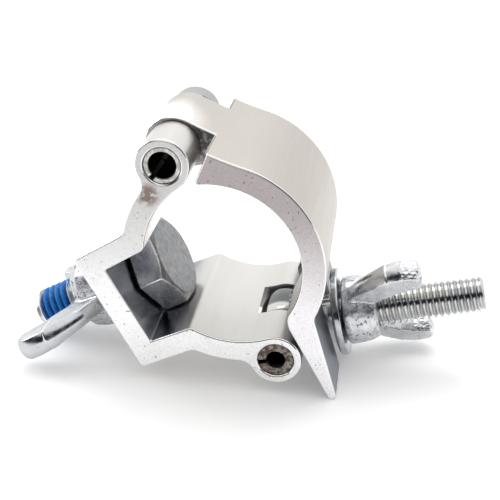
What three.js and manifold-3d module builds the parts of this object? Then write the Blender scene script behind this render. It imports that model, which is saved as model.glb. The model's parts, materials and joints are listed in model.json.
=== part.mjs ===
import * as THREE from "three";
import { mergeVertices } from "three/addons/utils/BufferGeometryUtils.js";
import Module from "manifold-3d";

// Pipe clamp: a hinged aluminium half coupler for a 35 mm tube, in millimetres.
// Shapes are drawn in the clamp plane: p runs from the channel floor towards the tube,
// q runs from the swing bolt pivot towards the hinge, y runs along the tube.

const WIDTH = 34; // extrusion length, along the tube
const HINGE_SLOT = [-6.6, 10.3]; // y range of the gap that takes the strap's knuckle
const PIVOT_SLOT = [-5.7, 5.7]; // the same for the swing bolt's eye
const TUBE_R = 17.5;
const SADDLE_BORE_P = 24; // bore centre above the channel floor
const SADDLE_OUT_R = 21.9;
const FLOOR = 4.8;
const CHANNEL_HALF = 8.65; // holds a 17 mm hexagon without letting it turn
const FOOT_HALF = 13.2; // outer half width of the channel at its floor
const EDGE_R = 1;
const PIN_P = 21;
const PIN_Q = 22.45;
const KNUCKLE_R = 5.15;
const PIN_R = 3.5;
const PIN_HOLE_R = 3.72;
const PIN_INSET = 0.35;

const STRAP = { p: 19, q: 0.3, inner: 17.25, outer: 21.85, knuckle: 5.9 };
const SHOULDER = { p: 29.5, q: 20.8 }; // top outer corner beside the hinge notches
const TAIL_IN = 26.6;
const TAIL_TIP = { p: 27.5, q: -34.1, r: 0.9 };
const FORK = 10.8; // width of the open slot in the strap's tail

const BOLT = { r: 4.85, length: 27.2, acrossFlats: 17, head: 6.2, lift: 0.6 };
const PATCH = { from: 17.8, length: 6.7, inner: 4.9, outer: 5.15, sweep: 2.4 };
const SWING = { r: 3.9, tip: 41.5, eyeR: 5.9, eyeWidth: 10, angle: -15.7 };
const WASHER_AT = 11.2; // from the pivot to the washer's near face, at rest
const SWING_WASHER = { inner: 4.2, outer: 9.2, thick: 1.6 };
const BOLT_WASHER = { inner: 5.25, outer: 10, thick: 2 };
const SWING_NUT = { bore: 4.15, size: 1, turn: 54 };
const BOLT_NUT = { bore: 5.4, size: 1.2, turn: 0 };
const GAP = 0.3;

// The clamp lies on the mounting bolt's end and on the two prongs of the strap's tail.
const REST = { p: BOLT.lift - BOLT.length + 0.8, q: -BOLT.r };
const REACH = TAIL_TIP.p - REST.p;
const DROP = REST.q - TAIL_TIP.q;
const LEAN = Math.atan2(DROP, REACH) + Math.asin(TAIL_TIP.r / Math.hypot(REACH, DROP));

const wasm = await Module();
wasm.setup();

function solid(geometry) {
  const g = geometry.clone();
  g.deleteAttribute("normal");
  g.deleteAttribute("uv");
  const merged = mergeVertices(g, 1e-4);
  return new wasm.Manifold(new wasm.Mesh({
    numProp: 3,
    vertProperties: new Float32Array(merged.attributes.position.array),
    triVerts: new Uint32Array(merged.index.array),
  }));
}

function geometryOf(body) {
  const mesh = body.getMesh();
  const g = new THREE.BufferGeometry();
  g.setAttribute("position", new THREE.BufferAttribute(new Float32Array(mesh.vertProperties), 3));
  g.setIndex(new THREE.BufferAttribute(new Uint32Array(mesh.triVerts), 1));
  g.computeVertexNormals();
  return g;
}

// A (p, q) outline extruded along y between two depths.
function slab(shape, y0, y1, curveSegments = 24) {
  const g = new THREE.ExtrudeGeometry(shape, { depth: y1 - y0, bevelEnabled: false, curveSegments });
  g.rotateX(Math.PI / 2);
  g.translate(0, y1, 0);
  return g;
}

// A round bar along y.
function bar(r, y0, y1, p, q, segments = 48) {
  const g = new THREE.CylinderGeometry(r, r, y1 - y0, segments);
  g.translate(p, (y0 + y1) / 2, q);
  return g;
}

function box(p0, p1, y0, y1, q0, q1) {
  const g = new THREE.BoxGeometry(p1 - p0, y1 - y0, q1 - q0);
  g.translate((p0 + p1) / 2, (y0 + y1) / 2, (q0 + q1) / 2);
  return g;
}

// A body of revolution about its own +p axis; the profile lists [radius, distance].
function turned(profile, segments = 48) {
  const g = new THREE.LatheGeometry(profile.map(([r, d]) => new THREE.Vector2(r, d)), segments);
  g.rotateZ(-Math.PI / 2);
  return g;
}

// The profile of a ring with a rectangular section.
const ringProfile = (inner, outer, thick) =>
  [[inner, 0], [outer, 0], [outer, thick], [inner, thick], [inner, 0]];

function saddleShape() {
  const s = new THREE.Shape();
  const crest = 9.2;
  const side = 13.8;
  const bore = (q) => SADDLE_BORE_P - Math.sqrt(TUBE_R ** 2 - q ** 2);
  const back = (q) => SADDLE_BORE_P - Math.sqrt(SADDLE_OUT_R ** 2 - q ** 2);
  const armEnd = Math.atan2(17.48, 23.2 - SADDLE_BORE_P);
  const angle = (q, f) => Math.atan2(q, f(q) - SADDLE_BORE_P);
  s.moveTo(0, -CHANNEL_HALF);
  s.lineTo(0, CHANNEL_HALF);
  s.lineTo(bore(crest), crest);
  s.absarc(SADDLE_BORE_P, 0, TUBE_R, angle(crest, bore), armEnd, true);
  s.absarc(SADDLE_BORE_P, 0, SADDLE_OUT_R, armEnd, angle(side, back), false);
  s.lineTo(EDGE_R - FLOOR, FOOT_HALF);
  s.absarc(EDGE_R - FLOOR, FOOT_HALF - EDGE_R, EDGE_R, Math.PI / 2, Math.PI, false);
  s.lineTo(-FLOOR, EDGE_R - FOOT_HALF);
  s.absarc(EDGE_R - FLOOR, EDGE_R - FOOT_HALF, EDGE_R, Math.PI, 1.5 * Math.PI, false);
  s.lineTo(back(side), -side);
  s.absarc(SADDLE_BORE_P, 0, SADDLE_OUT_R, 2 * Math.PI - angle(side, back), 2 * Math.PI - armEnd, false);
  s.absarc(SADDLE_BORE_P, 0, TUBE_R, 2 * Math.PI - armEnd, 2 * Math.PI - angle(crest, bore), true);
  s.closePath();
  return s;
}

function saddle() {
  const y = WIDTH / 2;
  let body = solid(slab(saddleShape(), -y, y));
  for (const side of [1, -1]) {
    body = body.add(solid(bar(KNUCKLE_R, -y, y, PIN_P, side * PIN_Q)));
    body = body.subtract(solid(bar(PIN_HOLE_R, -y - 1, y + 1, PIN_P, side * PIN_Q)));
  }
  for (const [r, gap, q] of [[STRAP.knuckle, HINGE_SLOT, PIN_Q], [SWING.eyeR, PIVOT_SLOT, -PIN_Q]]) {
    body = body.subtract(solid(bar(r + 0.5, ...gap, PIN_P, q)));
    body = body.subtract(solid(box(PIN_P, PIN_P + 9, ...gap, q - 8, q + 8)));
  }
  body = body.subtract(solid(box(PIN_P - 9, PIN_P + 1, ...PIVOT_SLOT, -PIN_Q - 9, -PIN_Q)));
  const hole = turned([[0, 0], [5.3, 0], [5.3, FLOOR + 2], [0, FLOOR + 2]]);
  hole.translate(-FLOOR - 1, 0, 0);
  return geometryOf(body.subtract(solid(hole)));
}

function strapShape() {
  const s = new THREE.Shape();
  const { p, q, inner, outer } = STRAP;
  const start = 1.47;
  const inEnd = -Math.acos((TAIL_IN - p) / inner);
  const neck = { p: 31.9, q: -17.5 };
  const outEnd = Math.atan2(neck.q - q, neck.p - p);
  const tip = TAIL_TIP;
  s.moveTo(p + inner * Math.cos(start), q + inner * Math.sin(start));
  s.absarc(p, q, inner, start, inEnd + 0.1, true);
  s.quadraticCurveTo(TAIL_IN + 0.1, q + inner * Math.sin(inEnd) - 0.1, TAIL_IN, -17);
  s.lineTo(tip.p - tip.r, tip.q);
  s.absarc(tip.p, tip.q, tip.r, Math.PI, 2 * Math.PI, false);
  s.lineTo(neck.p, neck.q);
  s.absarc(p, q, outer, outEnd, 0.8, false);
  s.quadraticCurveTo(31.8, 18.9, SHOULDER.p, SHOULDER.q);
  s.lineTo(PIN_P + 3.5, PIN_Q + 4);
  s.lineTo(PIN_P, PIN_Q);
  s.closePath();
  return s;
}

function strap() {
  const y = WIDTH / 2;
  const [near, far] = [HINGE_SLOT[0] + GAP, HINGE_SLOT[1] - GAP];
  let body = solid(slab(strapShape(), -y, y, 32));
  const notch = new THREE.Shape([
    new THREE.Vector2(25, 14), new THREE.Vector2(25, 17.2), new THREE.Vector2(SHOULDER.p, SHOULDER.q),
    new THREE.Vector2(SHOULDER.p, 30), new THREE.Vector2(14, 30), new THREE.Vector2(14, 14),
  ]);
  body = body.subtract(solid(slab(notch, -y - 1, near)));
  body = body.subtract(solid(slab(notch, far, y + 1)));
  body = body.add(solid(bar(STRAP.knuckle, near, far, PIN_P, PIN_Q)));
  body = body.subtract(solid(bar(STRAP.inner, -y - 1, y + 1, STRAP.p, STRAP.q, 180)));
  body = body.subtract(solid(bar(PIN_HOLE_R, -y, y, PIN_P, PIN_Q)));
  const slotEnd = new THREE.CylinderGeometry(FORK / 2, FORK / 2, 20, 40);
  slotEnd.rotateZ(Math.PI / 2);
  slotEnd.translate(32, 0, -16.6);
  body = body.subtract(solid(slotEnd));
  body = body.subtract(solid(box(22, 42, -FORK / 2, FORK / 2, -40, -16.6)));
  return geometryOf(body);
}

// A rolled spring pin: a tube with one lengthwise slit.
function rollPin(q, wall, slit) {
  const y = WIDTH / 2 - PIN_INSET;
  let body = solid(bar(PIN_R, -y, y, PIN_P, q, 56));
  body = body.subtract(solid(bar(PIN_R - wall, -y - 1, y + 1, PIN_P, q, 56)));
  const cut = box(0, 6, -y - 1, y + 1, -0.5, 0.5);
  cut.rotateY(-slit);
  cut.translate(PIN_P, 0, q);
  return geometryOf(body.subtract(solid(cut)));
}

function hexBolt() {
  const { r, length, acrossFlats, head, lift } = BOLT;
  const round = acrossFlats / Math.sqrt(3);
  const hex = new THREE.CylinderGeometry(round, round, head, 6);
  hex.rotateY(Math.PI / 6);
  hex.rotateZ(-Math.PI / 2);
  hex.translate(lift + head / 2, 0, 0);
  const dome = turned([[0, 0], [round + 0.2, 0], [round + 0.2, head - 1], [8, head], [0, head]]);
  dome.translate(lift, 0, 0);
  const shank = turned([[0, 0], [r - 0.8, 0], [r, 0.8], [r, length + 0.5], [0, length + 0.5]]);
  shank.translate(lift - length, 0, 0);
  return geometryOf(solid(hex).intersect(solid(dome)).add(solid(shank)));
}

// The nylon locking patch wraps part of the way round the thread.
function threadPatch() {
  const s = new THREE.Shape();
  const half = PATCH.sweep / 2;
  s.absarc(0, 0, PATCH.outer, -half, half, false);
  s.absarc(0, 0, PATCH.inner, half, -half, true);
  s.closePath();
  const g = new THREE.ExtrudeGeometry(s, { depth: PATCH.length, bevelEnabled: false, curveSegments: 20 });
  g.rotateY(-Math.PI / 2);
  g.rotateX(1);
  g.translate(-PATCH.from, 0, 0);
  return g;
}

function swingBolt() {
  const w = SWING.eyeWidth / 2;
  const { r, tip, eyeR } = SWING;
  const shank = turned([[0, 0], [r, 0], [r, tip - 0.8], [r - 0.8, tip], [0, tip]]);
  let body = solid(bar(eyeR, -w, w, 0, 0, 56)).add(solid(shank));
  body = body.subtract(solid(bar(PIN_HOLE_R, -w - 1, w + 1, 0, 0)));
  return geometryOf(body);
}

function washer({ inner, outer, thick }) {
  return turned(ringProfile(inner, outer, thick), 56);
}

// A cast wing nut: a tapered hub and two blunt wings that rise along the bolt.
function wingNut({ bore, size, turn }) {
  const k = size;
  const hub = turned([[0, 0], [7.1 * k, 0], [7.1 * k, 1.2 * k], [6 * k, 6.8 * k], [0, 6.8 * k]], 56);
  const wing = new THREE.Shape();
  wing.moveTo(3 * k, 1 * k);
  wing.lineTo(7 * k, 1.4 * k);
  wing.quadraticCurveTo(11.8 * k, 4.4 * k, 15 * k, 10.6 * k);
  wing.quadraticCurveTo(16.3 * k, 13.8 * k, 14.6 * k, 16 * k);
  wing.quadraticCurveTo(12.6 * k, 17.4 * k, 10.6 * k, 15.6 * k);
  wing.quadraticCurveTo(9.6 * k, 9.4 * k, 5.2 * k, 6.8 * k);
  wing.lineTo(3 * k, 6.8 * k);
  wing.closePath();
  let body = solid(hub);
  for (const side of [0, Math.PI]) {
    const g = new THREE.ExtrudeGeometry(wing, { depth: 4.4 * k, bevelEnabled: false, curveSegments: 10 });
    g.translate(0, 0, -2.2 * k);
    g.rotateY(side);
    g.rotateZ(-Math.PI / 2);
    body = body.add(solid(g));
  }
  body = body.subtract(solid(turned([[0, -1], [bore, -1], [bore, 12 * k], [0, 12 * k]])));
  const g = geometryOf(body);
  g.rotateX(-THREE.MathUtils.degToRad(turn));
  return g;
}

const metal = (color, roughness, metalness = 1) =>
  new THREE.MeshStandardMaterial({ color, roughness, metalness });
const aluminium = metal(0xc9c7c6, 0.38);
const strapAluminium = metal(0xcdc5c4, 0.34);
const zinc = metal(0xb4b6b8, 0.3);
const pinSteel = metal(0x4d4945, 0.5);
const nylon = metal(0x0f6fc0, 0.55, 0);

function node(name, geometry, material) {
  const mesh = new THREE.Mesh(geometry, material);
  mesh.name = name;
  return mesh;
}

// Pieces on the swing bolt share its axis, which starts at the pivot pin.
const swing = new THREE.Group();
swing.position.set(PIN_P, 0, -PIN_Q);
swing.rotation.y = -THREE.MathUtils.degToRad(SWING.angle);
const swingWasher = node("swing_washer", washer(SWING_WASHER), zinc);
swingWasher.position.x = WASHER_AT;
const swingNut = node("swing_wing_nut", wingNut(SWING_NUT), zinc);
swingNut.position.x = WASHER_AT + SWING_WASHER.thick + GAP;
swing.add(node("swing_bolt", swingBolt(), zinc), swingWasher, swingNut);

// Pieces on the mounting bolt point the other way, out of the channel's floor.
const mounting = new THREE.Group();
mounting.position.x = -FLOOR - GAP;
mounting.rotation.y = Math.PI;
const boltNut = node("mounting_wing_nut", wingNut(BOLT_NUT), zinc);
boltNut.position.x = BOLT_WASHER.thick + GAP;
mounting.add(node("mounting_washer", washer(BOLT_WASHER), zinc), boltNut);

const clamp = new THREE.Group();
clamp.add(
  node("saddle", saddle(), aluminium),
  node("strap", strap(), strapAluminium),
  node("hinge_roll_pin", rollPin(PIN_Q, 0.8, -2.3), pinSteel),
  node("pivot_roll_pin", rollPin(-PIN_Q, 1.6, 2.9), pinSteel),
  node("mounting_bolt", hexBolt(), zinc),
  node("thread_lock_patch", threadPatch(), nylon),
  swing,
  mounting,
);
clamp.rotation.y = -LEAN;

const group = new THREE.Group();
group.name = "pipe_clamp";
group.add(clamp);
group.updateMatrixWorld(true);
const bounds = new THREE.Box3().setFromObject(group, true);
const middle = bounds.getCenter(new THREE.Vector3());
clamp.position.set(-middle.x, -middle.y, -bounds.min.z);

export default group;
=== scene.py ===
"""Pipe clamp for a 35 mm tube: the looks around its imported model.

Shapes are drawn in millimetres in the clamp plane, as in the CAD part: p (the first coordinate) runs
from the channel floor towards the tube, y along the tube, and q (the third) from the swing bolt's
pivot towards the hinge. PLANE takes them into the row frame, in metres.
"""
import json
import math

import bmesh
import bpy
from mathutils import Matrix, Vector, noise


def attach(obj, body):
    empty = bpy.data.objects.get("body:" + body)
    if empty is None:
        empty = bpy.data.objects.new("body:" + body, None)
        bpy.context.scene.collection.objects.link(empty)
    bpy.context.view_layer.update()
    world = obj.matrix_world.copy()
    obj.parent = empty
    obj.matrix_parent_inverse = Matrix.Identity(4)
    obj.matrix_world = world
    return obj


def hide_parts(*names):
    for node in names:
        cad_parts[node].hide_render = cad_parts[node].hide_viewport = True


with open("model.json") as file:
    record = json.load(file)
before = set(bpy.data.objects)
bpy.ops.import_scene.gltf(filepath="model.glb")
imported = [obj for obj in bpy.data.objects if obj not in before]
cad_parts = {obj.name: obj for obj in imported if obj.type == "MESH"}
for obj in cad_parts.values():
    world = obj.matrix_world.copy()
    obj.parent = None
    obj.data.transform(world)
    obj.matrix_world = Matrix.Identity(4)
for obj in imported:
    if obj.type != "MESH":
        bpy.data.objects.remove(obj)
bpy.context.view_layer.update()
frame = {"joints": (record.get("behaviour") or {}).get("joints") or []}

MM = 0.001
TAU = 2 * math.pi

# ---------------------------------------------------------------- sizes, in millimetres
WIDTH = 34
HINGE_SLOT = (-6.6, 10.3)
PIVOT_SLOT = (-5.7, 5.7)
TUBE_R = 17.5
BORE_P = 24
OUT_R = 21.9
FLOOR_T = 4.8
CHANNEL_HALF = 8.65
FOOT_HALF = 13.2
PIN_P = 21
PIN_Q = 22.45
KNUCKLE_R = 5.15
PIN_R = 3.5
PIN_HOLE_R = 3.56
PIN_INSET = 0.35
EYE_R = 5.9
STRAP = dict(p=19, q=0.3, inner=17.25, outer=21.85, knuckle=5.9)
SHOULDER = (29.5, 20.8)
TAIL_IN = 26.6
TAIL_TIP = (27.5, -34.1)
TAIL_TIP_R = 0.9
NECK = (31.9, -17.5)
FORK = 10.8
SWING_ANGLE = 15.7
WASHER_AT = 11.2
SWING_TIP = 41.5
BOLT_END = 26.6
HEAD_FROM, HEAD_TO = 0.6, 6.8
MOUNT_WASHER_AT = 5.1
BOLT_HOLE_R = 5.3
HEX_ACROSS = 17
# outer radius, depth and pitch
SWING_THREAD = (3.98, 0.72, 1.25)
SWING_THREAD_FROM = 11.8
MOUNTING_THREAD = (4.9, 0.88, 1.5)
MOUNTING_THREAD_FROM = 1.6
PATCH_FROM, PATCH_TO = 17.6, 24.7
PATCH_FACING = 3.712
PATCH_SWEEP = 2.5
PATCH_ROOT_R, PATCH_RISE = 4.25, 0.79
FORK_ROOT_Q = -16.6
SWING_NUT_GAP, MOUNTING_NUT_GAP = 1.9, 2.3
END_BEVEL = 0.42
# in degrees: faces that tidy merges, and edges of the extrusions that stay sharp
FLAT, CRISP = 0.4, 10


# ---------------------------------------------------------------- frames
def joint_at(name):
    return Vector(next(j["pos_m"] for j in frame["joints"] if j["name"] == name))


HINGE = joint_at("strap_hinge")
PIVOT = joint_at("swing_bolt_pivot")
Q_DIR = (HINGE - PIVOT).normalized()
P_DIR = Vector((Q_DIR.z, 0, -Q_DIR.x))
ORIGIN = (HINGE + PIVOT) / 2 - P_DIR * PIN_P * MM
PLANE = Matrix((P_DIR * MM, Vector((0, MM, 0)), Q_DIR * MM)).transposed().to_4x4()
PLANE.translation = ORIGIN
# On each bolt x runs outward along the thread.
ON_SWING = (PLANE @ Matrix.Translation((PIN_P, 0, -PIN_Q))
            @ Matrix.Rotation(math.radians(SWING_ANGLE), 4, "Y"))
ON_MOUNTING = PLANE @ Matrix.Rotation(math.pi, 4, "Y")


# ---------------------------------------------------------------- mesh tools
def to_piece(name, bm):
    bmesh.ops.recalc_face_normals(bm, faces=bm.faces)
    mesh = bpy.data.meshes.new(name)
    bm.to_mesh(mesh)
    bm.free()
    piece = bpy.data.objects.new(name, mesh)
    bpy.context.scene.collection.objects.link(piece)
    return piece


def prism(outline, y0, y1):
    """A (p, q) outline with depth along y."""
    bm = bmesh.new()
    near, far = [[bm.verts.new((p, y, q)) for p, q in outline] for y in (y0, y1)]
    bm.faces.new(near)
    bm.faces.new(far)
    for i in range(len(outline)):
        bm.faces.new((near[i - 1], near[i], far[i], far[i - 1]))
    return to_piece("prism", bm)


def arc(p, q, r, a0, a1, steps):
    angles = [a0 + (a1 - a0) * i / steps for i in range(steps + 1)]
    return [(p + r * math.cos(a), q + r * math.sin(a)) for a in angles]


def curve(a, b, c, steps):
    """A quadratic bend from a to c, pulled towards b."""
    a, b, c = Vector(a), Vector(b), Vector(c)
    points = []
    for i in range(steps + 1):
        t = i / steps
        points.append(tuple(a * (1 - t) ** 2 + b * 2 * t * (1 - t) + c * t * t))
    return points


def rod(r, y0, y1, p, q, steps=144):
    return prism(arc(p, q, r, 0, TAU, steps)[:-1], y0, y1)


def slab(p0, p1, y0, y1, q0, q1):
    return prism([(p0, q0), (p1, q0), (p1, q1), (p0, q1)], y0, y1)


def lathe(profile, steps=128):
    """A profile of (radius, x) turned about the x axis; it ends on the axis or where it began."""
    bm = bmesh.new()
    ring_shape = profile[0] == profile[-1]
    rings = []
    for r, x in profile[:-1] if ring_shape else profile:
        if r == 0:
            rings.append([bm.verts.new((x, 0, 0))] * steps)
        else:
            rings.append([bm.verts.new((x, r * math.cos(TAU * s / steps), r * math.sin(TAU * s / steps)))
                          for s in range(steps)])
    for j in range(len(rings) - (0 if ring_shape else 1)):
        a, b = rings[j], rings[(j + 1) % len(rings)]
        for s in range(steps):
            corners = [a[s - 1], a[s], b[s], b[s - 1]]
            unique = [v for i, v in enumerate(corners) if v not in corners[:i]]
            bm.faces.new(unique)
    return to_piece("lathe", bm)


def bake(piece):
    """Applies a piece's modifiers."""
    graph = bpy.context.evaluated_depsgraph_get()
    mesh = bpy.data.meshes.new_from_object(piece.evaluated_get(graph))
    old = piece.data
    piece.modifiers.clear()
    piece.data = mesh
    bpy.data.meshes.remove(old)


def combine(piece, tool, operation):
    step = piece.modifiers.new("combine", "BOOLEAN")
    step.operation = operation
    step.solver = "EXACT"
    step.object = tool
    bake(piece)
    mesh = tool.data
    bpy.data.objects.remove(tool)
    bpy.data.meshes.remove(mesh)
    return piece


def add(piece, *tools):
    for tool in tools:
        combine(piece, tool, "UNION")
    return piece


def cut(piece, *tools):
    for tool in tools:
        combine(piece, tool, "DIFFERENCE")
    return piece


def keep(piece, tool):
    return combine(piece, tool, "INTERSECT")


def tidy(piece):
    """Merges the small faces that cutting leaves on flat surfaces."""
    bm = bmesh.new()
    bm.from_mesh(piece.data)
    bmesh.ops.remove_doubles(bm, verts=bm.verts, dist=0.002)
    bmesh.ops.dissolve_limit(bm, angle_limit=math.radians(FLAT), verts=bm.verts, edges=bm.edges)
    bm.to_mesh(piece.data)
    bm.free()
    return piece


def close_slits(piece):
    """Joins a corner that lies on the open edge of its neighbour."""
    reach = 0.002
    bm = bmesh.new()
    bm.from_mesh(piece.data)
    open_edges = [e for e in bm.edges if e.is_boundary]
    corners = [v for e in open_edges for v in e.verts]
    for edge in open_edges:
        start, end = edge.verts
        run = end.co - start.co
        for corner in corners:
            if corner in (start, end):
                continue
            share = (corner.co - start.co).dot(run) / run.length_squared
            if 0 < share < 1 and (start.co + run * share - corner.co).length < reach:
                bmesh.utils.edge_split(edge, start, share)
                break
    bmesh.ops.remove_doubles(bm, verts=bm.verts, dist=reach / 2)
    bm.to_mesh(piece.data)
    bm.free()
    return piece


def soften_edges(piece, width, segments, angle, clamp=True):
    """Bevels every edge that is sharper than an angle in degrees."""
    step = piece.modifiers.new("bevel", "BEVEL")
    step.width = width
    step.segments = segments
    step.limit_method = "ANGLE"
    step.angle_limit = math.radians(angle)
    step.use_clamp_overlap = clamp
    bake(piece)
    return piece


def bevel_ends(piece):
    return soften_edges(tidy(piece), END_BEVEL, 4, 30, clamp=False)


def remesh(piece, voxel, rounds):
    """One closed skin, with every corner and joint rounded as in a casting."""
    step = piece.modifiers.new("remesh", "REMESH")
    step.mode = "VOXEL"
    step.voxel_size = voxel
    bake(piece)
    step = piece.modifiers.new("smooth", "SMOOTH")
    step.factor = 0.5
    step.iterations = rounds
    bake(piece)
    return piece


def roughen(piece, amount, size, seed, where=None):
    """Moves each point along its normal by smooth noise; where(point) scales it."""
    mesh = piece.data
    normals = [v.normal.copy() for v in mesh.vertices]
    shift = Vector((seed, seed * 1.7, -seed))
    for v, n in zip(mesh.vertices, normals):
        k = amount * (where(v.co) if where else 1)
        if k:
            v.co += n * k * noise.noise(v.co / size + shift)
    return piece


def mask(piece, name, value):
    """Stores value(point) on each point, for the material to read."""
    layer = piece.data.attributes.new(name, "FLOAT", "POINT")
    layer.data.foreach_set("value", [value(v.co) for v in piece.data.vertices])
    return piece


def shade(piece, angle=38, even=True):
    """Smooth shading up to an angle; even weighs the normals by the size of each face."""
    piece.data.shade_smooth()
    piece.data.set_sharp_from_angle(angle=math.radians(angle))
    if even:
        step = piece.modifiers.new("normals", "WEIGHTED_NORMAL")
        step.keep_sharp = True
        bake(piece)
    return piece


def settle(piece, name, place, body, slot, material, *nodes):
    """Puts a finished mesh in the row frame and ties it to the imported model."""
    piece.data.transform(place)
    piece.name = piece.data.name = name
    piece.data.materials.clear()
    piece.data.materials.append(material)
    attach(piece, body)
    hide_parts(*nodes)
    return piece


# ---------------------------------------------------------------- camera
RIGHT = Vector((0.98968, 0.14132, 0.02369)).normalized()
FORWARD = Vector((-0.11640, 0.88930, -0.44226)).normalized()
CAMERA_AT = Vector((0.02171, -0.17436, 0.10982))
FOCAL_LENGTH, SENSOR = 68.54, 36
up = RIGHT.cross(FORWARD).normalized()
camera_data = bpy.data.cameras.new("camera")
camera = bpy.data.objects.new("camera", camera_data)
bpy.context.scene.collection.objects.link(camera)
camera.matrix_world = Matrix((FORWARD.cross(up).normalized(), up, -FORWARD)).transposed().to_4x4()
camera.location = CAMERA_AT
camera_data.sensor_width = SENSOR
camera_data.lens = FOCAL_LENGTH
camera_data.clip_start = 0.005
bpy.context.scene.camera = camera


# ---------------------------------------------------------------- materials
# the share of a spot's reach over which it stays at full strength
FULL_SHARE = 0.35
# heights in millimetres between which the tones change over: sawn ends, then drawn sides; near the floor
# the sawn ends are painted brighter, as lit by the floor, and the drawn sides painted darker with shade
SAWN_HIGH, SAWN_LOW = 42, 14
DRAWN_HIGH, DRAWN_LOW = 24, 12
PIT_TONE = (0.10, 0.09, 0.085)
HOLE_SHADE_TONE = (0.006, 0.006, 0.006)
# painted highlight for the bevelled edges
EDGE_HIGHLIGHT_TONE = (0.93, 0.93, 0.93)
GREY = (0.3, 0.3, 0.3)
BROWN = (0.17, 0.11, 0.08)
CAST_TINT = (0.68, 0.69, 0.70)
# the colour sockets of a Mix node
MIX_A, MIX_B, MIX_OUT = 6, 7, 2


class Surface:
    """A material, with short names for the nodes that these finishes share."""

    def __init__(self, name, metallic):
        self.material = bpy.data.materials.new(name)
        self.material.use_nodes = True
        self.nodes = self.material.node_tree.nodes
        self.links = self.material.node_tree.links
        self.shader = self.nodes["Principled BSDF"]
        self.shader.inputs["Metallic"].default_value = metallic
        self.place = self.nodes.new("ShaderNodeTexCoord").outputs["Object"]

    def put(self, socket, value):
        if isinstance(value, bpy.types.NodeSocket):
            self.links.new(value, socket)
        elif isinstance(value, tuple) and len(value) == 3 and socket.type == "RGBA":
            socket.default_value = (*value, 1)
        else:
            socket.default_value = value

    def math(self, operation, a, b=0.0):
        node = self.nodes.new("ShaderNodeMath")
        node.operation = operation
        self.put(node.inputs[0], a)
        self.put(node.inputs[1], b)
        return node.outputs[0]

    def stretched(self, scale):
        node = self.nodes.new("ShaderNodeMapping")
        self.put(node.inputs["Vector"], self.place)
        node.inputs["Scale"].default_value = scale
        return node.outputs["Vector"]

    def noise(self, per_metre, detail, stretch=None, roughness=0.55):
        node = self.nodes.new("ShaderNodeTexNoise")
        self.put(node.inputs["Vector"], self.stretched(stretch) if stretch else self.place)
        node.inputs["Scale"].default_value = per_metre
        node.inputs["Detail"].default_value = detail
        node.inputs["Roughness"].default_value = roughness
        return node.outputs["Fac"]

    def cells(self, per_metre):
        node = self.nodes.new("ShaderNodeTexVoronoi")
        self.put(node.inputs["Vector"], self.place)
        node.inputs["Scale"].default_value = per_metre
        return node.outputs["Distance"]

    def between(self, value, low, high, out_low=0.0, out_high=1.0):
        """A soft step from out_low to out_high as the value goes from low to high."""
        node = self.nodes.new("ShaderNodeMapRange")
        node.interpolation_type = "SMOOTHSTEP"
        for name, v in zip(("Value", "From Min", "From Max", "To Min", "To Max"),
                           (value, low, high, out_low, out_high)):
            self.put(node.inputs[name], v)
        return node.outputs["Result"]

    def towards(self, factor, a, b):
        """The number a, moved towards b by factor."""
        return self.math("ADD", a, self.math("MULTIPLY", self.math("SUBTRACT", b, a), factor))

    def mix(self, factor, a, b):
        node = self.nodes.new("ShaderNodeMix")
        node.data_type = "RGBA"
        self.put(node.inputs["Factor"], factor)
        self.put(node.inputs[MIX_A], a)
        self.put(node.inputs[MIX_B], b)
        return node.outputs[MIX_OUT]

    def stored(self, name):
        node = self.nodes.new("ShaderNodeAttribute")
        node.attribute_name = name
        return node.outputs["Fac"]

    def along(self, direction):
        """Millimetres from the clamp plane's origin along a direction."""
        node = self.nodes.new("ShaderNodeVectorMath")
        node.operation = "DOT_PRODUCT"
        self.put(node.inputs[0], self.place)
        node.inputs[1].default_value = direction
        return self.math("DIVIDE", self.math("SUBTRACT", node.outputs["Value"], ORIGIN.dot(direction)), MM)

    def axis(self, letter):
        """Millimetres along an axis of the row frame."""
        node = self.nodes.new("ShaderNodeSeparateXYZ")
        self.put(node.inputs[0], self.place)
        return self.math("DIVIDE", node.outputs[letter], MM)

    def near(self, point, reach):
        """1 at a point of the row frame, fading to 0 at reach metres."""
        node = self.nodes.new("ShaderNodeVectorMath")
        node.operation = "DISTANCE"
        self.put(node.inputs[0], self.place)
        node.inputs[1].default_value = point
        return self.between(node.outputs["Value"], reach, reach * FULL_SHARE)

    def from_line(self, p, q, mirrored=False):
        """Millimetres from a line along the tube's axis; mirrored adds the same line below it."""
        height = self.along(Q_DIR)
        if mirrored:
            height = self.math("ABSOLUTE", height)
        across = self.math("POWER", self.math("SUBTRACT", self.along(P_DIR), p), 2)
        upward = self.math("POWER", self.math("SUBTRACT", height, q), 2)
        return self.math("SQRT", self.math("ADD", across, upward))

    def facing(self, direction):
        """How far the surface faces a direction: 1 towards it, -1 away from it."""
        node = self.nodes.new("ShaderNodeVectorMath")
        node.operation = "DOT_PRODUCT"
        self.put(node.inputs[0], self.nodes.new("ShaderNodeNewGeometry").outputs["True Normal"])
        node.inputs[1].default_value = direction
        return node.outputs["Value"]

    def bump(self, height, depth, strength, under=None):
        """A normal for a height in 0 to 1 and a depth in metres."""
        node = self.nodes.new("ShaderNodeBump")
        node.inputs["Distance"].default_value = depth
        node.inputs["Strength"].default_value = strength
        self.put(node.inputs["Height"], height)
        if under:
            self.put(node.inputs["Normal"], under)
        return node.outputs["Normal"]

    def finish(self, color, roughness, normal):
        self.put(self.shader.inputs["Base Color"], color)
        self.put(self.shader.inputs["Roughness"], roughness)
        self.put(self.shader.inputs["Normal"], normal)
        return self.material


def in_row(p, y, q):
    return tuple(PLANE @ Vector((p, y, q)))


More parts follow.
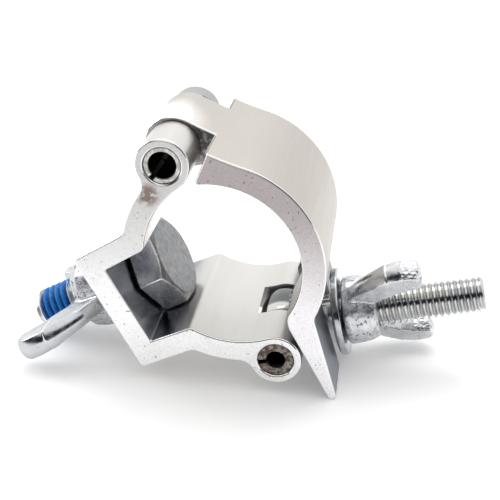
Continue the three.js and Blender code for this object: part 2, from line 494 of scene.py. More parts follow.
def extruded_aluminium(name, drawn, drawn_low_shade_tone, sawn, sawn_floor_lit_tone, satin, stains_and_shadows, painted_light_spot,
                       channel=False, painted_glare_line=None):
    """Drawn metal: faint streaks along the tube axis, a fine sawn grain and small pits on the end faces.

    The low tones are painted light near the floor: brighter sawn ends, darker drawn sides. A stain or
    painted shadow is (point, reach, strength, tone), a painted light mark on the drawn sides is
    (point, reach, tone), and a painted glare line is (p, q, reach, tone).
    """
    s = Surface(name, 1.0)
    facing = s.math("ABSOLUTE", s.facing((0, 1, 0)))
    end = s.between(facing, 0.90, 0.985)
    edge = s.math("MULTIPLY", s.between(facing, 0.12, 0.35), s.math("SUBTRACT", 1.0, end))
    cloud = s.between(s.noise(170, 4), 0.35, 0.68)
    streak = s.noise(1300, 3, stretch=(1, 0.06, 1))
    grain = s.noise(4200, 3, roughness=0.7)
    pits = s.math("MULTIPLY", s.between(s.noise(2100, 2, roughness=0.4), 0.30, 0.25),
                  s.math("ADD", 0.12, s.math("MULTIPLY", end, 0.88)))
    # painted light: the sawn ends are painted brighter towards the floor
    low = s.between(s.axis("Z"), SAWN_HIGH, SAWN_LOW)

    def sawn_times(share):
        return s.mix(low, tuple(share * c for c in sawn), tuple(share * c for c in sawn_floor_lit_tone))

    sawn_tone = s.mix(s.math("MULTIPLY", cloud, 0.35), sawn_times(1), sawn_times(0.86))
    sawn_tone = s.mix(s.between(grain, 0.60, 0.42, 0.0, 0.35), sawn_tone, sawn_times(0.6))
    # painted shade: the drawn sides are painted darker towards the floor
    drawn_tone = s.mix(s.between(s.axis("Z"), DRAWN_HIGH, DRAWN_LOW), drawn, drawn_low_shade_tone)
    bands = s.noise(300, 2, stretch=(1, 0.12, 1))
    drawn_tone = s.mix(s.between(bands, 0.3, 0.72, 0.05, 0), drawn_tone, GREY)
    drawn_tone = s.mix(s.between(grain, 0.35, 0.65, 0.0, 0.08), drawn_tone, GREY)
    # painted light on the drawn sides: painted shade on the saddle, a painted highlight on the strap
    point, reach, tone = painted_light_spot
    drawn_tone = s.mix(s.near(point, reach), drawn_tone, tone)
    # painted highlight: near white within reach of a line along the tube
    if painted_glare_line:
        p, q, reach, tone = painted_glare_line
        pale = s.between(s.from_line(p, q), reach, reach * FULL_SHARE)
        drawn_tone = s.mix(pale, drawn_tone, tone)
    color = s.mix(end, drawn_tone, sawn_tone)
    # painted highlight: the bevels round the end faces are painted near white
    color = s.mix(s.math("MULTIPLY", edge, 0.85), color, EDGE_HIGHLIGHT_TONE)
    color = s.mix(s.math("MULTIPLY", pits, 0.8), color, PIT_TONE)
    # each a brown stain on the saddle's ends, and on the strap a painted shadow
    for point, reach, strength, tone in stains_and_shadows:
        patchy = s.between(s.noise(1100, 4), 0.34, 0.52)
        factor = s.math("MULTIPLY", s.math("MULTIPLY", s.near(point, reach), patchy),
                        s.math("MULTIPLY", end, strength))
        color = s.mix(factor, color, tone)
    rough_end = s.between(grain, 0.3, 0.7, 0.33, 0.46)
    rough_drawn = s.between(streak, 0.3, 0.7, satin * 0.92, satin * 1.1)
    rough = s.towards(end, rough_drawn, rough_end)
    rough = s.towards(edge, rough, 0.1)
    # painted shade: the pin holes are painted near black inside, beyond about a millimetre from each end
    wall = s.between(s.from_line(PIN_P, PIN_Q, mirrored=True), PIN_HOLE_R + 0.12, PIN_HOLE_R + 0.04)
    deep = s.between(s.math("ABSOLUTE", s.axis("Y")), WIDTH / 2 - 0.6, WIDTH / 2 - 1.2)
    color = s.mix(s.math("MULTIPLY", wall, deep), color, HOLE_SHADE_TONE)
    if channel:
        # the channel's floor and walls come smooth out of the die; their dark grey is painted shade and
        # painted reflection
        height = s.along(Q_DIR)
        p, q = s.along(P_DIR), s.math("ABSOLUTE", height)
        inside = s.math("MULTIPLY", s.between(p, 9.4, 8.6),
                        s.between(q, CHANNEL_HALF + 0.45, CHANNEL_HALF + 0.15))
        inside = s.math("MULTIPLY", inside, s.between(facing, 0.5, 0.2))
        inside = s.math("MULTIPLY", inside, s.between(p, -0.6, -0.3))
        tone = s.mix(s.between(s.noise(420, 3, stretch=(1, 0.3, 1)), 0.35, 0.7),
                     (0.28, 0.29, 0.32), (0.42, 0.43, 0.46))
        # painted reflection: darker towards the hinge side, where the bolt head's shaded underside shows
        tone = s.mix(s.between(height, -3, 5, 0, 0.6), tone, (0.12, 0.125, 0.15))
        color = s.mix(inside, color, tone)
        rough = s.towards(inside, rough, 0.2)
    lines = s.bump(streak, 0.000006, 0.12)
    grained = s.bump(grain, 0.000014, 0.5, lines)
    pitted = s.bump(s.math("SUBTRACT", 1.0, pits), 0.00008, 0.7, grained)
    return s.finish(color, rough, pitted)


def zinc(name, base, tint, roughness, dents, cast=False, crown=1.0, shaded_spot=None):
    """Zinc plate: cloudy brightness, a faint warm cast, and the dents of what lies below.

    A crown below 1 darkens the faces that look along the clamp's p.
    """
    s = Surface(name, 1.0 if crown == 1 else 0.72)
    cloud = s.between(s.noise(260, 4), 0.32, 0.68)
    warm = s.between(s.noise(120, 2), 0.42, 0.7)
    color = s.mix(cloud, tuple(0.8 * c for c in base), base)
    color = s.mix(s.math("MULTIPLY", warm, 0.35), color, tint)
    if shaded_spot:
        # painted shade: near the pivot the far half of the eye is painted dark, the near half a plain pale
        # tone
        painted_shade_halves = s.mix(s.between(s.axis("Y"), -2.8, -1.6), (0.66, 0.66, 0.63), (0.11, 0.115, 0.12))
        color = s.mix(s.near(*shaded_spot), color, painted_shade_halves)
    if crown < 1:
        # the top of the head is duller than its flats
        top = s.between(s.facing(P_DIR), 0.7, 0.95)
        worn = s.between(s.noise(900, 5, roughness=0.7), 0.40, 0.66)
        dull = s.mix(worn, tuple(crown * c for c in base), tuple(0.66 * crown * c for c in base))
        color = s.mix(top, color, dull)
    fine = s.noise(2600, 3)
    rough = s.between(s.noise(700, 4), 0.3, 0.7, roughness * 0.7, roughness * 1.45)
    if crown < 1:
        rough = s.math("ADD", rough, s.math("MULTIPLY", top, 0.1))
    normal = s.bump(s.noise(520, 3), 0.00006, dents)
    normal = s.bump(fine, 0.000016, 0.5, normal)
    if cast:
        tip = s.stored("hammered")
        hub = s.stored("pitted")
        speck = s.between(s.noise(1100, 5, roughness=0.75), 0.53, 0.60)
        dark = s.math("MULTIPLY", speck, hub)
        color = s.mix(s.math("MULTIPLY", dark, 0.85), color, (0.08, 0.08, 0.09))
        rough = s.math("ADD", rough, s.math("MULTIPLY", hub, 0.12))
        rough = s.math("ADD", rough, s.math("MULTIPLY", tip, 0.06))
        normal = s.bump(dark, 0.00008, 0.5, normal)
        normal = s.bump(s.math("MULTIPLY", s.cells(1700), tip), 0.00018, 0.8, normal)
    return s.finish(color, rough, normal)


def spring_steel(name, dirty, bright, deep):
    """Spring steel with rust-brown dirt in its end; painted shade darkens the bore to near black over deep
    millimetres.
    """
    s = Surface(name, 1.0)
    dirt = s.between(s.noise(1400, 5, roughness=0.65), 0.38, 0.6)
    color = s.mix(s.between(s.noise(500, 3), 0.3, 0.7), tuple(0.7 * c for c in bright), bright)
    color = s.mix(s.math("MULTIPLY", dirt, dirty), color, (0.11, 0.075, 0.05))
    # painted shade: the bore goes near black a little way inside the end
    mouth = WIDTH / 2 - 0.5
    below = s.between(s.math("ABSOLUTE", s.axis("Y")), mouth, mouth - deep)
    color = s.mix(below, color, (0.006, 0.006, 0.007))
    rough = s.math("ADD", s.between(dirt, 0, 1, 0.3, 0.6), s.math("MULTIPLY", below, 0.3))
    bumps = s.bump(s.noise(2400, 4), 0.00005, 0.6)
    return s.finish(color, rough, bumps)


def nylon():
    """Blue locking nylon, mottled; the thread's roots are painted with shade and its crests with a painted
    highlight.
    """
    s = Surface("locking_nylon", 0.0)
    blotch = s.between(s.noise(900, 4), 0.35, 0.7)
    color = s.mix(blotch, (0.005, 0.12, 0.46), (0.012, 0.25, 0.66))
    # painted shade in the thread's roots
    color = s.mix(s.between(s.stored("crest"), 0.5, 0.05, 0.0, 0.8), color, (0.001, 0.02, 0.12))
    # painted highlight on the thread's crests
    color = s.mix(s.between(s.stored("crest"), 0.8, 1.0, 0.0, 0.4), color, (0.03, 0.38, 0.80))
    rough = s.between(s.noise(1600, 3), 0.3, 0.7, 0.32, 0.6)
    s.shader.inputs["Specular IOR Level"].default_value = 0.3
    normal = s.bump(s.noise(3000, 4), 0.00005, 0.6)
    return s.finish(color, rough, normal)


END_Y = -WIDTH / 2
SADDLE_METAL = extruded_aluminium(
    "saddle_metal", drawn=(0.71, 0.695, 0.665), drawn_low_shade_tone=(0.71, 0.695, 0.665),
    sawn=(0.62, 0.62, 0.615), sawn_floor_lit_tone=(0.98, 0.98, 0.985), satin=0.34,
    stains_and_shadows=[(in_row(PIN_P - 5.3, END_Y, PIN_Q - 3.7), 0.0030, 0.85, BROWN),
            (in_row(PIN_P, END_Y, -PIN_Q), 0.0048, 0.3, BROWN)],
    # painted shade on the far hinge knuckle
    painted_light_spot=(in_row(PIN_P + 4, 14, PIN_Q + 3.5), 0.011, (0.40, 0.42, 0.41)),
    channel=True,
    # painted highlight on the saddle's upper outer face
    painted_glare_line=(4, 15, 18, (0.97, 0.965, 0.955)))
STRAP_METAL = extruded_aluminium(
    "strap_metal", drawn=(0.56, 0.525, 0.485), drawn_low_shade_tone=(0.30, 0.32, 0.36),
    sawn=(0.45, 0.405, 0.41), sawn_floor_lit_tone=(0.98, 0.965, 0.985), satin=0.42,
    # painted shadow: near black in the gap between the saddle's knuckle and the strap's shoulder
    stains_and_shadows=[(in_row(26.5, -6.3, 20.8), 0.0055, 0.8, (0.05, 0.05, 0.06))],
    # painted highlight over the strap's knuckle
    painted_light_spot=(in_row(19, -4, 29), 0.0125, (0.95, 0.945, 0.935)))
BOLT_ZINC = zinc("bolt_zinc", (0.64, 0.65, 0.66), (0.62, 0.58, 0.50), roughness=0.13, dents=0.06,
                 shaded_spot=(tuple(PIVOT), 0.0115))
HEAD_ZINC = zinc("head_zinc", (0.86, 0.88, 0.91), (0.80, 0.78, 0.70), roughness=0.22, dents=0.03,
                 crown=0.34)
WASHER_ZINC = zinc("washer_zinc", (0.56, 0.58, 0.61), (0.50, 0.52, 0.54), roughness=0.17, dents=0.1)
CAST_ZINC = zinc("cast_zinc", (0.76, 0.78, 0.80), CAST_TINT, roughness=0.2, dents=0.1, cast=True)
# painted shade: a darker copy of the cast zinc for the mounting nut, which hangs low by the floor
SHADED_CAST_ZINC = zinc("shaded_cast_zinc", (0.61, 0.63, 0.655), CAST_TINT, roughness=0.2, dents=0.1,
                      cast=True)
HINGE_STEEL = spring_steel("hinge_pin_steel", dirty=0.25, bright=(0.74, 0.73, 0.71), deep=0.6)
PIVOT_STEEL = spring_steel("pivot_pin_steel", dirty=0.95, bright=(0.34, 0.32, 0.30), deep=1.6)
NYLON = nylon()


# ---------------------------------------------------------------- saddle
def knuckle_outline():
    """From the bore, which it touches, round the knuckle and through the inside corner to the back."""
    fillet = 3.2
    pin, bore = Vector((PIN_P, PIN_Q)), Vector((BORE_P, 0))
    away = pin - bore
    reach, near = OUT_R + fillet, KNUCKLE_R + fillet
    along = (reach ** 2 - near ** 2 + away.length_squared) / (2 * away.length)
    off = math.sqrt(reach ** 2 - along ** 2)
    e = away.normalized()
    centre = bore + e * along + Vector((-e.y, e.x)) * off
    first = math.atan2(-e.y, -e.x)
    last = math.atan2(*(centre - pin).yx) % TAU
    a0 = math.atan2(*(pin - centre).yx)
    a1 = math.atan2(*(bore - centre).yx)
    bend = (a1 - a0 + math.pi) % TAU - math.pi
    points = arc(PIN_P, PIN_Q, KNUCKLE_R, first, last, 90)[1:]
    points += arc(centre.x, centre.y, fillet, a0, a0 + bend, 14)[1:]
    return points, math.atan2(*(centre - bore).yx)


def saddle_outline():
    """Both halves of the saddle, from the channel floor round the jaw to the outer floor."""

    def bore(q):
        return BORE_P - math.sqrt(TUBE_R ** 2 - q ** 2)

    def back(q):
        return BORE_P - math.sqrt(OUT_R ** 2 - q ** 2)

    # heights of the two corners: channel wall to bore, and arm to foot
    crest, side = 9.2, 13.8
    end = math.atan2(PIN_Q, PIN_P - BORE_P)
    a_bore = math.atan2(crest, bore(crest) - BORE_P)
    a_back = math.atan2(side, back(side) - BORE_P)
    slope = Vector((bore(crest), crest - CHANNEL_HALF)).normalized()
    half = [(0, 0), (0, CHANNEL_HALF)]
    # channel wall, softened crest, bore
    step = 0.9
    before = (bore(crest) - slope.x * step, crest - slope.y * step)
    a_after = a_bore - step / TUBE_R
    after = (BORE_P + TUBE_R * math.cos(a_after), TUBE_R * math.sin(a_after))
    half += curve(before, (bore(crest), crest), after, 10)
    half += arc(BORE_P, 0, TUBE_R, a_after, end, 40)[1:]
    knuckle, a_from = knuckle_outline()
    half += knuckle
    # back of the arm, softened inside corner, foot
    a_stop = a_back - 1.0 / OUT_R
    half += arc(BORE_P, 0, OUT_R, a_from, a_stop, 36)[1:]
    foot = Vector((1 - FLOOR_T, FOOT_HALF)) - Vector((back(side), side))
    foot = Vector((back(side), side)) + foot.normalized()
    half += curve(half[-1], (back(side), side), tuple(foot), 10)[1:]
    half += arc(1 - FLOOR_T, FOOT_HALF - 1, 1, math.pi / 2, math.pi, 16)
    half += [(-FLOOR_T, 0)]
    mirrored = [(p, -q) for p, q in reversed(half[1:-1])]
    return half[1:] + mirrored


def build_saddle():
    y = WIDTH / 2
    body = prism(saddle_outline(), -y, y)
    for side in (1, -1):
        cut(body, rod(PIN_HOLE_R, -y - 1, y + 1, PIN_P, side * PIN_Q))
    bevel_ends(body)
    for r, gap, q in ((STRAP["knuckle"], HINGE_SLOT, PIN_Q), (EYE_R, PIVOT_SLOT, -PIN_Q)):
        cut(body, rod(r + 0.5, *gap, PIN_P, q), slab(PIN_P, PIN_P + 9, *gap, q - 8, q + 8))
    cut(body, slab(PIN_P - 9, PIN_P + 1, *PIVOT_SLOT, -PIN_Q - 9, -PIN_Q))
    cut(body, lathe([(0, -FLOOR_T - 1), (BOLT_HOLE_R, -FLOOR_T - 1), (BOLT_HOLE_R, 2), (0, 2)]))
    return shade(body, CRISP, even=False)


# ---------------------------------------------------------------- strap
def strap_outline():
    p, q, inner, outer = (STRAP[k] for k in ("p", "q", "inner", "outer"))
    # angles: where the jaw begins, where its back ends, and where the knuckle takes over
    start, back_end, touch = 1.47, 0.8, 0.6295
    in_end = -math.acos((TAIL_IN - p) / inner)
    out_end = math.atan2(NECK[1] - q, NECK[0] - p)
    points = arc(p, q, inner, start, in_end + 0.1, 90)
    bend_to = (TAIL_IN + 0.1, q + inner * math.sin(in_end) - 0.1)
    points += curve(points[-1], bend_to, (TAIL_IN, -17.6), 12)[1:]
    tip_p, tip_q = TAIL_TIP
    points += arc(tip_p, tip_q, TAIL_TIP_R, math.pi, TAU, 28)
    neck = Vector(NECK)
    below = neck + (Vector((tip_p + TAIL_TIP_R, tip_q)) - neck).normalized() * 0.7
    back_start = out_end + 0.035
    beyond = arc(p, q, outer, out_end, back_start, 1)[1]
    points += curve(tuple(below), NECK, beyond, 10)
    points += arc(p, q, outer, back_start, back_end, 70)[1:]
    # the back runs on smoothly into the knuckle
    start_point = Vector(points[-1])
    end_point = Vector(arc(PIN_P, PIN_Q, STRAP["knuckle"], touch, touch + 0.1, 1)[0])
    first = start_point + 4 * Vector((-math.sin(back_end), math.cos(back_end)))
    second = end_point - 4 * Vector((-math.sin(touch), math.cos(touch)))
    for i in range(1, 25):
        t = i / 24
        points.append(tuple(start_point * (1 - t) ** 3 + first * 3 * t * (1 - t) ** 2
                            + second * 3 * t * t * (1 - t) + end_point * t ** 3))
    return points + [(PIN_P, PIN_Q)]


def build_strap():
    y, near, far = WIDTH / 2, HINGE_SLOT[0] + 0.3, HINGE_SLOT[1] - 0.3
    body = prism(strap_outline(), -y, y)
    notch = [(25, 14), (25, 17.2), SHOULDER, (SHOULDER[0], 30), (14, 30), (14, 14)]
    cut(body, prism(notch, -y - 1, near), prism(notch, far, y + 1))
    add(body, rod(STRAP["knuckle"], near, far, PIN_P, PIN_Q))
    cut(body, rod(STRAP["inner"], -y - 1, y + 1, STRAP["p"], STRAP["q"], 360))
    cut(body, rod(PIN_HOLE_R, -y, y, PIN_P, PIN_Q))
    bevel_ends(body)
    slot_end = lathe([(0, 22), (FORK / 2, 22), (FORK / 2, 42), (0, 42)], 96)
    slot_end.data.transform(Matrix.Translation((0, 0, FORK_ROOT_Q)))
    cut(body, slot_end, slab(22, 42, -FORK / 2, FORK / 2, -40, FORK_ROOT_Q))
    return shade(close_slits(body), CRISP, even=False)


# ---------------------------------------------------------------- pins
def build_pin(q, wall, slit):
    """A rolled spring pin: open along one side, its ends slightly rounded."""
    y = WIDTH / 2 - PIN_INSET
    gap_out = 0.5 / PIN_R
    gap_in = 0.4 / (PIN_R - wall)
    outline = arc(PIN_P, q, PIN_R, slit + gap_out, slit + TAU - gap_out, 110)
    outline += arc(PIN_P, q, PIN_R - wall, slit + TAU - gap_in, slit + gap_in, 90)
    pin = prism(outline, -y, y)
    soften_edges(pin, 0.18, 3, 40)
    return shade(pin)


# ---------------------------------------------------------------- bolts
def threaded(radius, depth, pitch, start, end):
    """A right-handed screw thread along x, tapered off at both ends."""
    steps = 60
    # each is (share of the pitch, depth below the outer radius)
    rows = ((0, 0.05), (0.06, 0), (0.125, 0.05), (0.42, depth), (0.55, depth + 0.03), (0.69, depth))
    turns = math.ceil((end - start) / pitch) + 1
    core = radius - depth - 0.12
    bm = bmesh.new()
    grid = []
    for turn in range(-1, turns):
        for part, sink in rows:
            ring = []
            for s in range(steps):
                x = start + (turn + part + s / steps) * pitch
                x = min(max(x, start), end)
                r = min(radius - sink, core + (end - x) * 1.1, core + (x - start) * 1.1)
                a = TAU * s / steps
                ring.append(bm.verts.new((x, r * math.cos(a), r * math.sin(a))))
            grid.append(ring)
    per_turn = len(rows)
    for j in range(len(grid) - 1):
        for s in range(steps):
            if s + 1 < steps:
                bm.faces.new((grid[j][s], grid[j][s + 1], grid[j + 1][s + 1], grid[j + 1][s]))
            elif j + per_turn + 1 < len(grid):
                bm.faces.new((grid[j][s], grid[j + per_turn][0],
                              grid[j + per_turn + 1][0], grid[j + 1][s]))
    bmesh.ops.remove_doubles(bm, verts=bm.verts, dist=1e-4)
    bmesh.ops.dissolve_degenerate(bm, edges=bm.edges, dist=1e-5)
    bmesh.ops.holes_fill(bm, edges=[e for e in bm.edges if e.is_boundary])
    return to_piece("thread", bm)


def build_swing_bolt():
    """The eye lies round the origin with a crowned rim; the shank runs along +x."""
    half, rim, crown = 5, 4.5, 0.7
    profile = [(rim + crown * math.sqrt(1 - (y / half) ** 2), y)
               for y in (-half * math.cos(math.pi * i / 18) for i in range(19))]
    body = lathe([(0, -half), *profile, (0, half)], 120)
    body.data.transform(Matrix.Rotation(math.pi / 2, 4, "Z"))
    neck = [(0, 0), (4.9, 0), (4.9, 4.2), (4.35, 5.6), (3.95, 7.2), (3.85, 9), (3.85, 12.6),
            (0, 12.6)]
    add(body, lathe(neck, 96))
    cut(body, rod(PIN_HOLE_R, -6, 6, 0, 0, 120))
    tidy(body)
    soften_edges(body, 0.45, 4, 30)
    add(body, threaded(*SWING_THREAD, SWING_THREAD_FROM, SWING_TIP))
    return shade(body, 32)


def build_hex_bolt():
    """Head towards -x, thread towards +x; the head's crown is chamfered and slightly dished."""
    round_r = HEX_ACROSS / math.sqrt(3)
    crown = HEAD_TO - 1.0
    body = lathe([(0, -HEAD_TO), (round_r, -HEAD_TO), (round_r, -HEAD_FROM), (0, -HEAD_FROM)], 6)
    profile = [(0, -HEAD_TO + 0.14), (4.6, -HEAD_TO + 0.12), (5.6, -HEAD_TO + 0.02),
               (8.0, -HEAD_TO), (round_r + 0.2, -crown), (round_r + 0.2, -HEAD_FROM), (0, -HEAD_FROM)]
    keep(body, lathe(profile, 120))
    tidy(body)
    soften_edges(body, 0.22, 3, 18)
    add(body, lathe([(0, -2), (4.8, -2), (4.8, 2.6), (0, 2.6)], 96))
    add(body, threaded(*MOUNTING_THREAD, MOUNTING_THREAD_FROM, BOLT_END))
    return shade(body, 32)


def build_patch():
    """The nylon skin over part of the thread: it follows the crests and roots, with an uneven rim."""
    pitch, under_r = MOUNTING_THREAD[2], 3.9
    rows, steps = 52, 44
    bm = bmesh.new()
    outer, inner = [], []
    for i in range(rows + 1):
        top, low = [], []
        for s in range(steps + 1):
            u = s / steps
            a = PATCH_FACING + PATCH_SWEEP * (u - 0.5)
            edge = 0.35 * noise.noise(Vector((3 * u, i * 0.31, 4.1)))
            x = PATCH_FROM + (PATCH_TO - PATCH_FROM) * i / rows + edge * (1 if i in (0, rows) else 0.4)
            wave = 0.5 + 0.5 * math.cos(TAU * ((x - MOUNTING_THREAD_FROM) / pitch - a / TAU - 0.06))
            rim = min(1, 6 * u, 6 * (1 - u), i / 3, (rows - i) / 3)
            r = PATCH_ROOT_R + PATCH_RISE * wave ** 1.2 * (0.75 + 0.25 * rim)
            r += 0.05 * noise.noise(Vector((x * 1.2, a * 5, 1.7)))
            top.append(bm.verts.new((x, r * math.cos(a), r * math.sin(a))))
            low.append(bm.verts.new((x, under_r * math.cos(a), under_r * math.sin(a))))
        outer.append(top)
        inner.append(low)
    for i in range(rows):
        for s in range(steps):
            bm.faces.new((outer[i][s], outer[i][s + 1], outer[i + 1][s + 1], outer[i + 1][s]))
            bm.faces.new((inner[i][s], inner[i + 1][s], inner[i + 1][s + 1], inner[i][s + 1]))
        for s in (0, steps):
            bm.faces.new((outer[i][s], outer[i + 1][s], inner[i + 1][s], inner[i][s]))
    for i in (0, rows):
        for s in range(steps):
            bm.faces.new((outer[i][s], outer[i][s + 1], inner[i][s + 1], inner[i][s]))
    patch = to_piece("patch", bm)
    mask(patch, "crest", lambda v: (math.hypot(v.y, v.z) - PATCH_ROOT_R) / PATCH_RISE)
    return shade(patch, 50)


# ---------------------------------------------------------------- washers
def build_washer(inner, outer, thick, round_r):
    """A stamped ring: one rolled rim, one crisper."""
    profile = [(inner, 0.15), (inner + 0.15, 0)]
    for i in range(7):
        a = i / 6 * math.pi / 2
        profile.append((outer - round_r + round_r * math.sin(a), round_r * (1 - math.cos(a))))
    for i in range(7):
        a = i / 6 * math.pi / 2
        profile.append((outer - round_r * 0.6 * (1 - math.cos(a)),
                        thick - round_r * 0.6 * (1 - math.sin(a))))
    profile += [(inner + 0.15, thick), (inner, thick - 0.15), (inner, 0.15)]
    ring = lathe(profile, 160)
    roughen(ring, 0.035, 2.6, outer)
    return shade(ring, 50)


# ---------------------------------------------------------------- wing nuts
def wing_outline(k, full, drop):
    """One wing from the side: (radius, x). full lengthens its tip, drop trims its outer edge."""
    points = [(3, 1.0), (7, 1.4)]
    points += curve((7, 1.4), (11.8 - drop, 4.4 + drop), (15 - drop, 10.6), 14)[1:]
    top = (14.6 + 0.2 * full - drop / 2, 16 + 0.6 * full - drop / 2)
    inner = (10.6 - 0.6 * full + drop / 2, 15.6 + 0.6 * full)
    points += curve((15 - drop, 10.6), (16.3 + 0.1 * full - drop, 13.8 + 0.4 * full), top, 10)[1:]
    points += curve(top, (12.6 - 0.2 * full, 17.4 + 0.8 * full - drop), inner, 10)[1:]
    points += curve(inner, (9.6 - 0.4 * full, 9.4 + 0.4 * full), (5.2, 6.8), 14)[1:]
    points += [(3, 6.8)]
    return [(k * r, k * x) for r, x in points]


def thickening(x):
    """The wings grow thicker from the hub to the tip."""
    t = min(1, max(0, (x - 2) / 11))
    return 0.66 + 0.34 * t * t * (3 - 2 * t)


def crowned_wing(k, half, full, drop):
    """A wing whose outer edge is rounded across its thickness."""
    crown, layers = 0.75, 16
    bm = bmesh.new()
    rings = []
    for i in range(layers + 1):
        u = 2 * i / layers - 1
        outline = wing_outline(k, full, drop + crown * u * u)
        rings.append([bm.verts.new((r, half * u * thickening(x / k), x)) for r, x in outline])
    bm.faces.new(rings[0])
    bm.faces.new(rings[-1])
    for a, b in zip(rings, rings[1:]):
        for i in range(len(a)):
            bm.faces.new((a[i - 1], a[i], b[i], b[i - 1]))
    return to_piece("wing", bm)


def build_wing(k, side, half, full):
    """One wing with the small step that the die leaves part of the way along it."""
    wing = crowned_wing(k, half, full, 0)
    cut(wing, slab(4 * k, 30 * k, -9, 9, 10.2 * k, 30 * k))
    add(wing, crowned_wing(k, half - 0.16, full, 0.28))
    flip = Matrix.Rotation(math.pi, 4, "X") if side < 0 else Matrix.Identity(4)
    # (r, thickness, x) becomes (x, r, thickness)
    swap = Matrix(((0, 0, 1, 0), (1, 0, 0, 0), (0, 1, 0, 0), (0, 0, 0, 1)))
    wing.data.transform(flip @ swap)
    return wing


def build_wing_nut(k, bore, turn, voxel, half, full, hammer):
    """A cast nut with two wings, k times the size of the small one, turned by degrees about x.

    half is half the thickness of a wing, and hammer how rough its tips are.
    """
    hub = [(0, 0), (6.5, 0), (7.0, 0.45), (7.15, 1.3), (7.0, 3), (6.65, 5), (6.1, 6.4), (5.4, 6.8),
           (0, 6.8)]
    body = lathe([(k * r, k * x) for r, x in hub], 96)
    add(body, build_wing(k, 1, half, full), build_wing(k, -1, half, full))
    remesh(body, voxel, 3)

    def is_tip(v):
        return hammer * min(1.0, max(0.0, (v.x / k - 12.6) / 1.2))

    def is_hub(v):
        return 1.0 - min(1.0, max(0.0, (math.hypot(v.y, v.z) / k - 6.6) / 2.4))

    roughen(body, 0.04 + 0.05 * hammer, 4.5, k)
    roughen(body, 0.07, 1.1, 3 + k, is_hub)
    roughen(body, 0.10, 0.7, 7 + k, is_tip)
    cut(body, lathe([(0, -1), (bore, -1), (bore, 12 * k), (0, 12 * k)], 96))
    mask(body, "hammered", is_tip)
    mask(body, "pitted", is_hub)
    body.data.transform(Matrix.Rotation(-math.radians(turn), 4, "X"))
    return shade(body, 45)


# ---------------------------------------------------------------- the clamp
settle(build_saddle(), "saddle_extrusion", PLANE, "saddle", "saddle_aluminium", SADDLE_METAL, "saddle")
settle(build_strap(), "strap_extrusion", PLANE, "strap", "strap_aluminium", STRAP_METAL, "strap")
settle(build_pin(PIN_Q, wall=0.85, slit=-2.75), "hinge_spring_pin", PLANE, "saddle", "pin_steel",
       HINGE_STEEL, "hinge_roll_pin")
settle(build_pin(-PIN_Q, wall=1.6, slit=2.9), "pivot_spring_pin", PLANE, "saddle", "pin_steel",
       PIVOT_STEEL, "pivot_roll_pin")
settle(build_hex_bolt(), "hex_bolt", ON_MOUNTING, "saddle", "zinc_plate", HEAD_ZINC, "mounting_bolt")
settle(build_patch(), "locking_patch", ON_MOUNTING, "saddle", "blue_nylon", NYLON, "thread_lock_patch")
settle(build_swing_bolt(), "eye_bolt", ON_SWING, "swing_bolt", "zinc_plate", BOLT_ZINC, "swing_bolt")

washer = build_washer(inner=4.2, outer=9.2, thick=1.6, round_r=0.55)
settle(washer, "swing_ring", ON_SWING @ Matrix.Translation((WASHER_AT, 0, 0)), "swing_washer",
       "zinc_plate", WASHER_ZINC, "swing_washer")
nut = build_wing_nut(k=1.0, bore=4.15, turn=54, voxel=0.17, half=2.45, full=1.0, hammer=1.0)
settle(nut, "swing_nut", ON_SWING @ Matrix.Translation((WASHER_AT + SWING_NUT_GAP, 0, 0)), "swing_wing_nut",
       "zinc_plate", CAST_ZINC, "swing_wing_nut")
washer = build_washer(inner=5.25, outer=10, thick=2, round_r=0.6)
settle(washer, "mounting_ring", ON_MOUNTING @ Matrix.Translation((MOUNT_WASHER_AT, 0, 0)),
       "mounting_washer", "zinc_plate", WASHER_ZINC, "mounting_washer")
nut = build_wing_nut(k=1.2, bore=5.2, turn=0, voxel=0.2, half=2.5, full=-0.3, hammer=0.0)
seat = Matrix.Translation((MOUNT_WASHER_AT + MOUNTING_NUT_GAP, 0, 0))
settle(nut, "mounting_nut", ON_MOUNTING @ seat, "mounting_wing_nut", "zinc_plate", SHADED_CAST_ZINC,
       "mounting_wing_nut")


# ---------------------------------------------------------------- floor and light
FLOOR_R = 2.5
FLOOR_GLOW = 0.2
ROOM_STRENGTH = 1.12
WHITE = (1, 1, 1, 1)
DIM = (0.018, 0.02, 0.032, 1)


def build_floor():
    bm = bmesh.new()
    bmesh.ops.create_circle(bm, cap_ends=True, segments=96, radius=FLOOR_R)
    floor = to_piece("studio_floor", bm)
    s = Surface("studio_paper", 0.0)
    tone = s.mix(s.between(s.noise(9, 3), 0.3, 0.7), (0.90, 0.895, 0.89), (0.93, 0.925, 0.92))
    floor.data.materials.append(s.finish(tone, s.between(s.noise(40, 3), 0.3, 0.7, 0.55, 0.7),
                                         s.bump(s.noise(1400, 3), 0.00002, 0.3)))
    # the paper lies on a light table, so shadows stay pale
    s.shader.inputs["Emission Color"].default_value = WHITE
    s.shader.inputs["Emission Strength"].default_value = FLOOR_GLOW


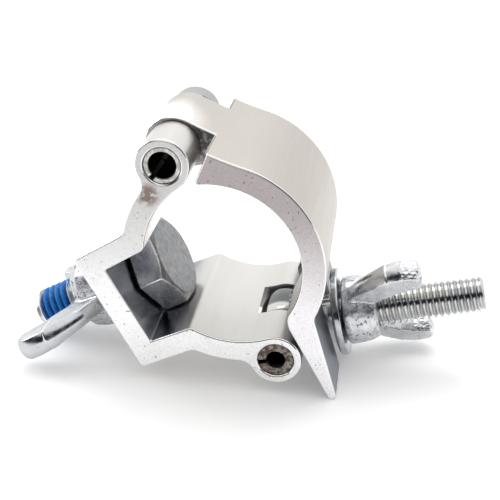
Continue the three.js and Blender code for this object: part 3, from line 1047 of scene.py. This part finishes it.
def area_light(name, at, target, size, energy):
    data = bpy.data.lights.new(name, "AREA")
    data.shape = "RECTANGLE"
    data.size, data.size_y = size
    data.energy = energy
    light = bpy.data.objects.new(name, data)
    bpy.context.scene.collection.objects.link(light)
    light.location = at
    light.rotation_euler = (Vector(target) - Vector(at)).to_track_quat("-Z", "Y").to_euler()


def build_world():
    """A white room whose near side, behind the camera, is dim from just above the horizon to 40 degrees."""
    world = bpy.data.worlds.new("studio")
    bpy.context.scene.world = world
    world.use_nodes = True
    nodes, links = world.node_tree.nodes, world.node_tree.links
    parts = nodes.new("ShaderNodeSeparateXYZ")
    links.new(nodes.new("ShaderNodeTexCoord").outputs["Generated"], parts.inputs[0])

    def ramp(value, low, high, out_low, out_high):
        node = nodes.new("ShaderNodeMapRange")
        node.interpolation_type = "SMOOTHSTEP"
        for name, v in (("From Min", low), ("From Max", high), ("To Min", out_low), ("To Max", out_high)):
            node.inputs[name].default_value = v
        links.new(value, node.inputs["Value"])
        return node.outputs["Result"]

    def times(a, b):
        node = nodes.new("ShaderNodeMath")
        node.operation = "MULTIPLY"
        links.new(a, node.inputs[0])
        links.new(b, node.inputs[1])
        return node.outputs[0]

    near_side = ramp(parts.outputs["Y"], 0.25, -0.35, 0.0, 1)
    low = times(ramp(parts.outputs["Z"], 0.76, 0.56, 0, 1), ramp(parts.outputs["Z"], 0.03, 0.12, 0, 1))
    mix = nodes.new("ShaderNodeMix")
    mix.data_type = "RGBA"
    links.new(times(near_side, low), mix.inputs["Factor"])
    mix.inputs[MIX_A].default_value = WHITE
    mix.inputs[MIX_B].default_value = DIM
    background = nodes["Background"]
    links.new(mix.outputs[MIX_OUT], background.inputs["Color"])
    background.inputs["Strength"].default_value = ROOM_STRENGTH


build_floor()
build_world()
area_light("key_softbox", at=(0, 0.25, 0.6), target=(0, 0, 0), size=(0.6, 0.4), energy=1.5)
area_light("side_softbox", at=(-0.55, 0.1, 0.3), target=(0, 0, 0.03), size=(0.3, 0.3), energy=1.0)

bpy.context.scene.cycles.use_denoising = True
bpy.context.scene.view_settings.view_transform = "Standard"
